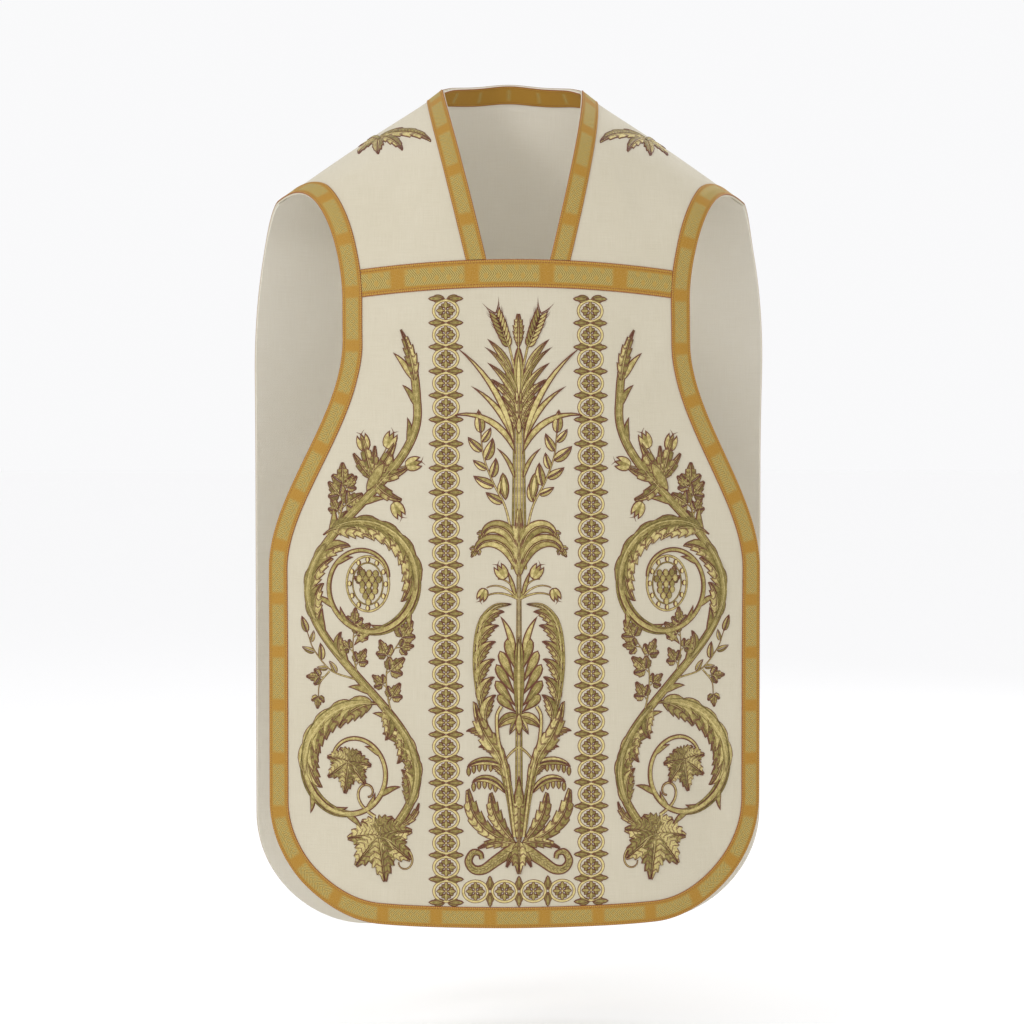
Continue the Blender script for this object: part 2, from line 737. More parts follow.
def ends_on(line, first, last):
    """The line with two other end points."""
    line = line.copy()
    line[0], line[-1] = first, last
    return line


nape = nape_points(np.linspace(-np.pi / 2, np.pi / 2, NAPE_BRAID_POINTS))
nape_inner = inside_line(BACK, nape, NECK_BRAID, INSIDE)
nape_inner = ends_on(nape_inner, on_ridge(BACK, -NECK_OUTER_X), on_ridge(BACK, NECK_OUTER_X))
nape_galloon = braid("nape_galloon", BACK, nape, nape_inner, edge_galloon, "nape_braid", True)
nape_gold_facing = braid(
    "nape_gold_facing",
    BACK,
    nape,
    nape_inner,
    facing_cloth,
    "nape_facing",
    flip=True,
    heights=FACING_HIGH,
    low=FACING_LOW,
)


def along_hem(hem, side):
    """The points of a hem from the left corner to the right one, between its two side lines."""
    end = side[-1, 0]
    return hem_point(hem, np.linspace(-end, end, HEM_BRAID_POINTS)[1:-1][::-1])


back_edge = both_sides(back_side, along_hem(BACK_HEM, back_side))
back_inner = inside_line(BACK, back_edge, EDGE_BRAID, INSIDE)
back_inner = ends_on(back_inner, on_ridge(BACK, RIDGE_INNER_X), on_ridge(BACK, -RIDGE_INNER_X))
back_edge_galloon = braid(
    "back_edge_galloon", BACK, back_edge, back_inner, edge_galloon, "back_edge_braid", True
)

below_seam = both_sides(front_side, along_hem(FRONT_HEM, front_side))
below_seam_inner = inside_line(FRONT, below_seam, EDGE_BRAID, INSIDE)
front_edge = np.concatenate([armhole, below_seam, mirrored(armhole)[::-1]])
front_inner = np.concatenate([armhole_inner, below_seam_inner, mirrored(armhole_inner)[::-1]])
front_edge_galloon = braid(
    "front_edge_galloon", FRONT, front_edge, front_inner, edge_galloon, "front_edge_braid", True
)
neck_galloon_left = braid("neck_galloon_left", FRONT, neck, neck_inner, edge_galloon, "neck_braid_left")
right_neck, right_neck_inner = mirrored(neck), mirrored(neck_inner)
neck_galloon_right = braid(
    "neck_galloon_right", FRONT, right_neck, right_neck_inner, edge_galloon, "neck_braid_right", True
)

# The edge braid's inner side on the left, from the hem up.
rising_inner = front_inner[: len(front_inner) // 3][::-1]

BAND_END_STEPS = 8


def band_line(drop):
    """A line of the chest band, up to the inner sides of the edge braid."""
    end = TIP_X - ARMHOLE_INSET - EDGE_BRAID
    for _ in range(BAND_END_STEPS):
        end = np.interp(band_top(end) - drop, rising_inner[:, 1], rising_inner[:, 0]) - 2 * GAP
    xs = np.linspace(-end, end, BAND_POINTS)
    return column(xs, band_top(xs) - drop)


chest_galloon = braid(
    "chest_galloon", FRONT, band_line(0), band_line(CHEST_BAND), band_galloon, "chest_band"
)

# ---- gold embroidery

DARK_THREAD = -1.0
WHITE_THREAD = 2.0

# Across a band of thread: the place and the height, with the sides a little below the cloth.
DOME = np.array([(0.0, 0.0), (0.12, 0.72), (0.5, 1.0), (0.88, 0.72), (1.0, 0.0)])
LOW_DOME = DOME[::2]
SEWN_IN = -0.15
NARROW = 4.5
FULL_HEIGHT_WIDTH = 2.2
TONE_CHANGE, TONE_STEP = 0.07, 1.7
OUTLINE = 1.8
MOST_OUTLINE = 0.28

TOOTH_CUT = 0.34
TOOTH_REACH = 0.55
VEIN_WIDTH, VEIN_TONE, VEIN_END, VEIN_LIFT = 1.7, 0.98, 0.88, 0.6
LIT_HALF, SHADED_HALF = 0.2, -0.12
STRAND_OUTLINE = 0.36
DISC_POINTS = 9
BERRY_PITCH, BERRY_ROW = 1.9, 1.55

# How far on both sides of a spine's point its heading is measured, as a share of its length.
NEARBY = 0.01


def towards(heading):
    """The direction of a heading in degrees, from upright towards +x."""
    return np.stack([np.sin(np.radians(heading)), np.cos(np.radians(heading))], -1)


def bent(at, heading, length, bend=0.0, count=9, hook=1.0):
    """A spine from a point that turns by bend degrees on its way, later the more hook it has."""
    share = (np.arange(count - 1) + 0.5) / (count - 1)
    steps = towards(heading + bend * share**hook) * (length / (count - 1))
    return np.concatenate([[at], np.asarray(at) + np.cumsum(steps, 0)])


def through(points, count=41):
    """A smooth curve through points."""
    points = np.asarray(points, float)
    slopes = np.gradient(points, axis=0)
    place = np.linspace(0, len(points) - 1, count)
    first = np.minimum(place.astype(int), len(points) - 2)
    t = (place - first)[:, None]
    a, b, da, db = points[first], points[first + 1], slopes[first], slopes[first + 1]
    leaving = a * (2 * t**3 - 3 * t**2 + 1) + da * (t**3 - 2 * t**2 + t)
    return leaving + b * (3 * t**2 - 2 * t**3) + db * (t**3 - t**2)


def bent_on(side, at, heading, length, bend, count, hook=1.0):
    """A bent spine that is given for the left half, on either side."""
    return bent((side * at[0], at[1]), side * heading, length, side * bend, count, hook)


def through_on(side, level, points, count):
    """A curve through points of the left half, given up from a level, on either side."""
    return through([(side * x, level + up) for x, up in points], count)


def spiral(centre, start, sweep, radii, count=73):
    """A spiral about a centre, from a heading, whose radius runs smoothly through radii."""
    share = np.linspace(0, 1, count)
    radius = np.polyval(np.polyfit(np.linspace(0, 1, len(radii)), radii, len(radii) - 1), share)
    return np.asarray(centre) + towards(start + sweep * share) * radius[:, None]


def part(spine, first, last, count=25):
    """The stretch of a spine between two shares of its length."""
    run = lengths(spine)
    marks = np.linspace(first, last, count) * run[-1]
    return np.stack([np.interp(marks, run, spine[:, axis]) for axis in (0, 1)], -1)


def point_on(spine, share):
    """A spine's point at a share of its length, and its heading there."""
    before, after = part(spine, max(share - NEARBY, 0), min(share + NEARBY, 1), 2)
    step = after - before
    return (before + after) / 2, float(np.degrees(np.arctan2(step[0], step[1])))


def sideways(spine):
    """The unit direction to the right of a spine, at each point."""
    step = np.gradient(spine, axis=0)
    step /= np.linalg.norm(step, axis=1, keepdims=True)
    return np.stack([step[:, 1], -step[:, 0]], -1)


# How wide a stroke is along its spine, as shares of its width and of its length.


def swelling(power, late=1.0):
    """Closed at both ends. The more power, the slimmer, and widest past the middle if late."""
    return lambda t: np.sin(np.pi * t**late) ** power


def narrowing(loss):
    return lambda t: 1 - loss * t


leaf_outline = swelling(0.85, 0.72)
bud_outline = swelling(0.65)
lobe_outline = swelling(0.6, 1.25)
spindle_outline = swelling(0.5)
fan_outline = swelling(0.8, 1.25)
club_outline = swelling(0.55, 2.1)
stem_outline = narrowing(0.45)
volute_outline = narrowing(0.62)


def rolled_outline(t):
    return np.minimum(1, 0.2 + t / 0.07) * (1 - 0.5 * t)


def taper_outline(t):
    return (1 - t) ** 0.7


class Needlework:
    """What is sewn on a face, in pattern points: bands of thread, domed as over padding.

    A tone runs from 0, olive in the shade, to 1, pale gold. DARK_THREAD is the outline's brown
    and WHITE_THREAD the ground's white. ribs is how strongly dark veins cross a band.
    """

    def __init__(self, face):
        self.face = face
        self.points = []
        self.faces = []
        self.count = 0

    def band(self, left, right, tone, crown=1.0, outline=1.0, lift=0.0, ribs=0.0):
        """A band between two lines. Its points hold x, w, height and what the thread looks like."""
        width = np.linalg.norm(right - left, axis=1)
        dome = DOME if width.max() > NARROW else LOW_DOME
        share = dome[:, 0]
        grid = mix(left[:, None], right[:, None], share[None, :, None])
        rows, cols = grid.shape[:2]
        full = np.minimum(1, width / (FULL_HEIGHT_WIDTH * crown))[:, None]
        height = np.where(dome[:, 1] > 0, lift + crown * dome[:, 1] * full, SEWN_IN)
        if 0 <= tone <= 1:
            tone = tone + TONE_CHANGE * np.sin(self.count * TONE_STEP)
        edging = min(OUTLINE * outline, MOST_OUTLINE * width.max())
        values = [
            grid[..., 0],
            grid[..., 1],
            height,
            np.broadcast_to(lengths((left + right) / 2)[:, None], (rows, cols)),
            np.minimum(share, 1 - share) * width[:, None],
            np.full((rows, cols), tone),
            np.full((rows, cols), edging),
            np.full((rows, cols), ribs),
            np.broadcast_to(share, (rows, cols)),
        ]
        a, b = grid[1:, 1:] - grid[:-1, :-1], grid[1:, :-1] - grid[:-1, 1:]
        anticlockwise = (a[..., 0] * b[..., 1] - a[..., 1] * b[..., 0]).sum() > 0
        faces = grid_faces(rows, cols, self.count)
        self.points.append(np.stack(values, -1).reshape(-1, len(values)))
        self.faces.append(faces if anticlockwise else faces[:, ::-1])
        self.count += rows * cols

    def copy(self, other, shift=(0, 0), mirror=False):
        """Sews another piece of work again, moved, or mirrored about the centre line."""
        for points, faces in zip(other.points, other.faces):
            moved = points.copy()
            if mirror:
                moved[:, 0] *= -1
                faces = faces[:, ::-1]
            moved[:, :2] += shift
            self.points.append(moved)
            self.faces.append(faces + self.count)
        self.count += other.count

    def narrowed(self, inner, share):
        """Draws the work closer to the line x = inner."""
        for points in self.points:
            points[:, 0] = mix(inner, points[:, 0], share)

    def both(self, other):
        """Sews another piece of work on the left and its mirror image on the right."""
        self.copy(other)
        self.copy(other, mirror=True)

    def piece(self, name, material):
        points = np.concatenate(self.points)
        faces = np.concatenate(self.faces)
        if self.face.toward > 0:
            faces = faces[:, ::-1]
        placed = surface(self.face, points[:, 0], points[:, 1], points[:, 2])
        maps = {"thread": points[:, 3:5], "finish": points[:, 5:7], "ribs": points[:, 7:9]}
        return mesh_piece(name, placed, faces, maps, material)

    # Strokes.

    def stem(self, spine, width, tone, outline_of=stem_outline, **kind):
        half = width / 2 * outline_of(np.linspace(0, 1, len(spine)))[:, None]
        side = sideways(spine)
        self.band(spine - side * half, spine + side * half, tone, **kind)

    def petal(self, spine, width, tone, outline_of=leaf_outline, **kind):
        self.stem(spine, width, tone, outline_of, **kind)

    def leaf(
        self, spine, width, tone, teeth=0, outline_of=leaf_outline, toothed=(1, 1), vein=True, lift=0.0
    ):
        """Two halves that meet in a dark midrib, one paler, and a pale vein along it.

        toothed is how deeply the left and the right half are cut by the forward teeth.
        """
        if teeth:
            spine = part(spine, 0, 1, teeth * 4 + 1)
        t = np.linspace(0, 1, len(spine))
        spacing = lengths(spine)[-1] / teeth if teeth else 0.0
        rise = t * teeth % 1 if teeth else np.ones_like(t)
        side = sideways(spine)
        forward = np.stack([-side[:, 1], side[:, 0]], -1)
        edges = []
        for sign, depth in zip((-1, 1), toothed):
            half = width / 2 * outline_of(t) * (1 - TOOTH_CUT * depth * (1 - rise))
            reach = depth * spacing * TOOTH_REACH * rise**2 * (t < 1)
            edges.append(spine + side * (sign * half)[:, None] + forward * reach[:, None])
        left, right = (spacing * depth for depth in toothed)
        self.band(edges[0], spine, tone + LIT_HALF, outline=0.9, lift=lift, ribs=left)
        self.band(spine, edges[1], tone + SHADED_HALF, outline=0.9, lift=lift, ribs=right)
        if vein:
            line, top = part(spine, 0, VEIN_END, 9), lift + VEIN_LIFT
            self.stem(line, VEIN_WIDTH, VEIN_TONE, taper_outline, outline=0.0, crown=0.5, lift=top)

    def disc(self, at, radius, tone, outline=0.7, lift=0.0):
        turn = np.linspace(0, np.pi, DISC_POINTS)
        level = np.zeros(DISC_POINTS)
        up = np.asarray(at) + np.stack([level, -np.cos(turn) * radius], -1)
        out = np.stack([np.sin(turn) * radius, level], -1)
        self.band(up - out, up + out, tone, outline=outline, lift=lift)

    def ring(self, at, across, up, width, tone, outline=0.9, count=33):
        turn = np.linspace(0, 2 * np.pi, count)[:, None]
        unit = np.concatenate([np.sin(turn), np.cos(turn)], 1)
        inner = np.asarray(at) + unit * (np.array([across, up]) - width)
        outer = np.asarray(at) + unit * np.array([across, up])
        self.band(inner, outer, tone, outline=outline)

    def strands(self, spine, width, tones, outline_of=spindle_outline, lift=0.0):
        """Long strokes side by side, as a ribbed stem or a sheathing leaf has."""
        half = (width / 2 * outline_of(np.linspace(0, 1, len(spine))))[:, None]
        side = sideways(spine)
        marks = np.linspace(-1, 1, len(tones) + 1)
        for low, high, tone in zip(marks, marks[1:], tones):
            left, right = spine + side * half * low, spine + side * half * high
            self.band(left, right, tone, outline=STRAND_OUTLINE, lift=lift)

    # Leaves and flowers.

    def ivy_leaf(self, at, heading, size, tone):
        """Three toothed lobes."""
        for turn, share in ((-66, 0.7), (66, 0.7), (0, 1.0)):
            spine = bent(at, heading + turn, size * share, -turn * 0.35, 7)
            self.leaf(spine, size * 0.74, tone - 0.06, teeth=3, toothed=(0.6, 0.6), vein=turn == 0)

    def vine_leaf(self, at, heading, size, tone):
        """Seven toothed lobes about the stalk's end, the middle one longest."""
        pairs = ((-146, 0.6), (146, 0.6), (-100, 0.86), (100, 0.86), (-52, 0.98), (52, 0.98))
        for order, (turn, share) in enumerate((*pairs, (0, 1.1))):
            spine = bent(at, heading + turn, size * share, -turn * 0.16)
            shade = tone - 0.02 * abs(order - 3)
            self.leaf(spine, size * 0.84, shade, teeth=6, lift=0.14 * order)
        for turn in (-76, -28, 28, 76):
            rib = bent(at, heading + turn, size * 0.6, -turn * 0.6)
            self.petal(rib, size * 0.09, 0.9, outline=0.35, lift=1.3, crown=0.6)

    def tulip(self, at, heading, size, tone):
        """A flower in bud, seen from the side: three petals in a cup and two dark stamens."""
        for turn in (-34, 34, 0):
            spine = bent(at, heading + turn, size, -turn * 1.2, 7)
            self.petal(spine, size * 0.42, tone + abs(turn) / 120, lift=0.2)
        tip = np.asarray(at) + towards(heading) * size * 0.9
        for turn in (-34, 34):
            self.stem(bent(tip, heading + turn, size * 0.35, turn, 5), 1.5, DARK_THREAD, taper_outline)

    def curl(self, at, heading, size, turn, tone=0.75, width=3.2):
        """A tendril that ends in a curl."""
        self.stem(bent(at, heading, size, turn, 25, hook=2.2), width, tone, outline=0.8)

    def twig(self, spine, leaves, size, tone, width=2.8, kind="petal"):
        """A twig with plain or ivy leaves on its two sides in turn and one at its end."""
        self.stem(spine, width, tone + 0.15, outline=0.8)
        for index in range(leaves):
            share = mix(0.28, 1.0, index / (leaves - 1)) if leaves > 1 else 1.0
            at, heading = point_on(spine, share)
            turn = 0 if index == leaves - 1 else (48 if index % 2 else -48)
            reach = size * (1.0 - 0.18 * np.sin(index * 2.1))
            way = heading + turn
            if kind == "ivy":
                foot = at + towards(way) * size * (0.32 if turn else 0)
                stalk = np.linspace(at, foot + towards(way), 3)
                self.stem(stalk, width * 0.8, tone + 0.15, outline=0.7)
                self.ivy_leaf(foot, way, reach * 0.92, tone)
            else:
                blade = bent(at, way, reach, -turn * 0.5, 9)
                self.leaf(blade, reach * 0.46, tone + 0.08, vein=False)

    def grapes(self, at, heading, rows, radius, tone):
        """A hanging bunch: rows of berries that narrow to the tip."""
        down, across = towards(heading), towards(heading + 90)
        for row in range(rows):
            berries = min(rows - row, 3 + row % 2)
            for index in range(berries):
                aside = across * (index - (berries - 1) / 2) * radius * BERRY_PITCH
                place = np.asarray(at) + (down * row * radius * BERRY_ROW + aside)
                self.disc(place, radius, tone + 0.2 * ((index + row) % 2), lift=0.3)

    def ear(self, at, heading, length, width):
        """A wheat ear: dark bristles, then pairs of grains laid from the tip down, and a rib."""
        spine = bent(at, heading, length, 0, 5)
        for share in np.linspace(0.2, 1.0, 11):
            grain, _ = point_on(spine, share)
            for side in (-1, 1):
                reach = width * (0.7 + 0.1 * np.sin(share * 20))
                bristle = bent(grain, heading + side * 44, reach, -side * 28, 5)
                self.stem(bristle, 2.1, DARK_THREAD, taper_outline)
        for index, share in enumerate(np.linspace(0.84, 0.0, 7)):
            grain, _ = point_on(spine, share)
            reach = width * 0.6 * np.sin(np.pi * (0.3 + 0.45 * share))
            for side in (-1, 1):
                spread = bent(grain, heading + side * 40, reach, -side * 22, 7)
                self.petal(spread, width * 0.2, 0.6 + 0.14 * side, outline=0.8, lift=0.2 + 0.14 * index)
        self.stem(part(spine, 0, 0.95, 5), 2.2, 0.98, taper_outline, outline=0.4, lift=1.6)

    def acanthus(self, spine, width, side, lobes, tone, body=True):
        """Leaves that spring from a stem one after another, toothed on the side they turn to."""
        toothed = (1, 0.15) if side < 0 else (0.15, 1)
        for index in range(lobes):
            share = mix(0.7, 0.02, index / max(lobes - 1, 1))
            at, heading = point_on(spine, share)
            reach = width * (2.0 + 0.3 * np.sin(np.pi * share))
            lobe = bent(at, heading + side * 16, reach, side * 56, hook=1.4)
            self.leaf(lobe, width * 1.05, tone, teeth=5, toothed=toothed, lift=0.12 * index)
        if body:
            tones = (tone - 0.1, tone + 0.25, tone + 0.45, tone)
            self.strands(spine, width * 0.5, tones, lift=1.2)

    def spurs(self, spine, shares, side, size, tone):
        """Small pointed leaves that part from a stem."""
        for share in shares:
            at, heading = point_on(spine, share)
            self.petal(bent(at, heading + side * 12, size, side * 40, 9), size * 0.27, tone, lift=0.1)


# ---- roundels of the borders

COLUMN_X = 82.0
PITCH = 27.4
ROUNDEL_ACROSS, ROUNDEL_UP, ROUNDEL_BAND = 15.8, 13.8, 4.2
ROW_STEPS = 5
ROW_PITCH = 2 * COLUMN_X / ROW_STEPS


def roundel(face):
    """A ring round a white ground and a cross of four three-lobed arms."""
    work = Needlework(face)
    work.disc((0, 0), ROUNDEL_UP - 2, WHITE_THREAD, outline=0.0, lift=-0.75)
    work.ring((0, 0), ROUNDEL_ACROSS, ROUNDEL_UP, ROUNDEL_BAND, 0.95, outline=0.8)
    for heading in (0, 90, 180, 270):
        foot = towards(heading) * 3.4
        for turn in (-50, 50):
            work.petal(bent(foot, heading + turn, 7.0, 0, 6), 5.4, 0.3, bud_outline, outline=0.8)
        work.petal(bent((0, 0), heading, 11.2, 0, 8), 5.8, 0.55, lobe_outline, outline=0.8, lift=0.2)
    work.disc((0, 0), 1.7, 0.9, outline=0.5, lift=0.6)
    return work


def joining_leaves(face, headings, start, reach):
    """Three-lobed leaves that lie over the rings of two roundels and point out between them."""
    work = Needlework(face)
    for heading in headings:
        foot = towards(heading) * start
        for turn in (-24, 24):
            side_lobe = bent(foot, heading + turn, reach * 0.72, -turn, 8)
            work.petal(side_lobe, 5.4, 0.4, bud_outline, outline=1.0)
        spine = bent(foot, heading, reach, 0, 9)
        work.petal(spine, 6.6, 0.5, lobe_outline, outline=1.0, lift=0.3)
        work.stem(part(spine, 0.1, 0.7, 5), 1.2, DARK_THREAD, taper_outline, lift=1.1, crown=0.4)
    return work


def borders(face, row_w, count):
    """Two columns of roundels that stand on a row of them along the hem."""
    left = Needlework(face)
    one = roundel(face)
    level_leaves = joining_leaves(face, (-90, 90), 1, 19)
    upright_leaves = joining_leaves(face, (0, 180), 1, 17)
    for index in range(count):
        w = row_w + index * PITCH
        left.copy(one, (COLUMN_X, w))
        left.copy(level_leaves, (COLUMN_X, w + PITCH / 2))
    left.copy(level_leaves, (COLUMN_X, row_w - PITCH / 2 + 1))
    work = Needlework(face)
    work.both(left)
    for index in range(1, ROW_STEPS):
        work.copy(one, (-COLUMN_X + index * ROW_PITCH, row_w))
    for index in range(1, ROW_STEPS - 1):
        work.copy(upright_leaves, (-COLUMN_X + (index + 0.5) * ROW_PITCH, row_w))
    return work


# ---- the stalk in the middle


def pair(work, at, heading, length, bend, width, tone, **kind):
    """A petal on each side of the centre line."""
    for side in (-1, 1):
        spine = bent_on(side, at, heading, length, bend, 11)
        work.petal(spine, width, tone, **kind)


def toothed_on(side, most=1, least=0.3):
    """How deeply a leaf's left and right half are cut, most of all on one side."""
    return (most, least) if side < 0 else (least, most)


def pair_of_leaves(work, at, heading, length, bend, width, tone, teeth=0, lift=0.0):
    """A leaf on each side of the centre line, toothed most on its outer side."""
    for side in (-1, 1):
        spine = bent_on(side, at, heading, length, bend, 11)
        work.leaf(spine, width, tone, teeth=teeth, toothed=toothed_on(side), lift=lift)


def ears_and_leaves(work, top, size):
    """Two wheat ears about a toothed bud, over six pairs of leaves. It is 178 sizes high."""

    def at(x, down):
        return (x * size, top - down * size)

    for side in (-1, 0, 1):
        stalk = through([at(side * 2, 118), at(side * 5, 84), at(side * 13, 46)], 11)
        work.stem(stalk, 3.4, 0.8, np.ones_like, outline=0.8)
    for side in (-1, 1):
        work.ear(at(side * 13, 50), side * 21, 48 * size, 31 * size)
    work.leaf(bent(at(0, 52), 0, 46 * size, 0, 11), 19 * size, 0.6, teeth=6, outline_of=bud_outline)
    pair_of_leaves(work, at(9, 86), 20, 58 * size, 30, 11 * size, 0.6)
    for down, heading, reach, bend, width, teeth in (
        (112, 12, 78, 46, 10, 0),
        (122, 20, 66, 36, 11, 0),
        (134, 28, 54, 24, 15, 4),
        (150, 24, 42, 20, 16, 4),
        (160, 16, 30, 14, 13, 3),
    ):
        lift = 0.002 * down
        pair_of_leaves(work, at(2, down), heading, reach * size, bend, width * size, 0.55, teeth, lift)
    work.leaf(bent(at(0, 152), 0, 56 * size, 0, 9), 15 * size, 0.6, teeth=4, lift=0.5)
    work.petal(bent(at(0, 166), 0, 26 * size, 0, 9), 9 * size, 0.8, lift=1.0)
    work.strands(bent(at(0, 178), 0, 24 * size, 0, 7), 6, (0.5, 0.85), np.ones_like)


def lily(work, top, buds=True):
    """Slanting buds and arching leaves on a ribbed stem. It is 272 high with its curled feet."""
    stalk = through([(0, top - 262), (0, top - 180), (0, top - 100), (0, top - 56)], 25)
    work.strands(stalk, 19, (0.35, 0.65, 0.9, 0.65, 0.35), stem_outline)
    for spread, foot, reach in ((16, -84, 88), (11, -92, 96), (22, -96, 78)):
        pair(work, (5, top + foot - 14), 4, reach, spread * 0.8, 5.2, 0.55, outline=0.9)
    work.petal(bent((0, top - 80), 0, 72, 0, 13), 15, 0.5, bud_outline, outline=1.5)
    work.petal(bent((0, top - 70), 0, 52, 0, 11), 5.6, 0.95, bud_outline, outline=0.6, lift=0.9)
    if buds:
        for side in (-1, 1):
            spine = bent_on(side, (16, top - 76), 20, 84, 12, 13)
            work.petal(spine, 22, 0.45, bud_outline, outline=1.5)
            inner = part(spine, 0.07, 0.92, 11)
            work.petal(inner, 14, 0.8, bud_outline, outline=1.1, lift=0.5)
            line = part(spine, 0.12, 0.85, 9)
            work.stem(line, 1.5, DARK_THREAD, spindle_outline, lift=1.5, crown=0.4)
    pair(work, (5, top - 124), 8, 134, 44, 8.4, 0.75, lift=0.6)
    pair(work, (5, top - 120), 14, 84, 46, 8.4, 0.7, lift=0.3)
    pair(work, (4, top - 132), 14, 96, 92, 8.6, 0.75, lift=0.2)
    pair(work, (5, top - 160), 8, 42, 44, 6, 0.7)
    for side in (-1, 1):
        rising = [(9, -218), (16, -190), (30, -162), (40, -134), (43, -108)]
        work.twig(through_on(side, top, rising, 25), 9, 24, 0.64, width=3.6)
        pod = bent((side * 15, top - 184), side * 6, 32, 0, 9)
        work.petal(pod, 12, 0.45, bud_outline, outline=1.2, lift=0.2)
        work.petal(part(pod, 0.1, 0.9, 7), 5.4, 0.9, bud_outline, outline=0.5, lift=0.9)
    curled_leaves(work, top - 228, 40)
    curled_leaves(work, top - 250, 54)


def curled_leaves(work, foot, reach):
    """A pair of broad leaves whose tips hang over."""
    for side in (-1, 1):
        spine = bent_on(side, (3, foot - 14), 10, reach + 24, 176, 19, 1.7)
        work.leaf(part(spine, 0, 0.97, 21), 17, 0.55, outline_of=bud_outline, lift=0.2)
        middle = part(spine, 0.04, 0.8, 15)
        work.stem(middle + sideways(middle) * side * -4, 2.2, 0.95, lift=1.0)
        tip, heading = point_on(spine, 0.88)
        work.ivy_leaf(tip, heading, 12, 0.5)
    work.leaf(bent((0, foot - 22), 0, 56, 0, 9), 20, 0.6, teeth=3, lift=0.3)


def palmette(work, foot):
    """Five pairs of club-shaped lobes on a spindle, over drooping leaves and a drop."""
    for up, heading, reach in ((3, 50, 31), (9, 42, 40), (21, 36, 45), (34, 30, 45), (48, 20, 42)):
        for side in (-1, 1):
            spine = bent_on(side, (2, foot + up), heading, reach, -8, 11)
            work.petal(spine, 12.5, 0.42 + 0.002 * up, club_outline, outline=1.3, lift=0.003 * up)
            vein = part(spine, 0.3, 0.86, 9)
            work.petal(vein, 2.6, 0.85, club_outline, outline=0.3, lift=0.8, crown=0.6)
    work.strands(bent((0, foot - 6), 0, 96, 0, 13), 13, (0.45, 0.85, 0.45), spindle_outline, lift=1.0)
    for side in (-1, 1):
        work.leaf(bent_on(side, (0, foot - 1), 84, 30, 70, 11), 14, 0.5, lift=0.4)
        work.leaf(bent_on(side, (0, foot), 150, 24, 6, 9), 9, 0.6, vein=False, lift=0.8)
    work.petal(bent((0, foot + 4), 180, 26, 0, 9), 10, 0.7, bud_outline, outline=1.2, lift=1.2)
    work.stem(bent((0, foot), 180, 20, 0, 5), 1.4, DARK_THREAD, spindle_outline, lift=2.0, crown=0.4)


def eyebrow(work, spine, fringe):
    """A leaf that lies level, its end bent down, with a fringe of small lobes below it."""
    for share in np.linspace(0.4, 0.94, fringe):
        at, _ = point_on(spine, share)
        work.petal(bent(at, 180, 12.5, 0, 6), 6.0, 0.5, bud_outline, outline=0.9)
    work.leaf(spine, 10, 0.6, vein=False, outline_of=bud_outline, lift=0.4)


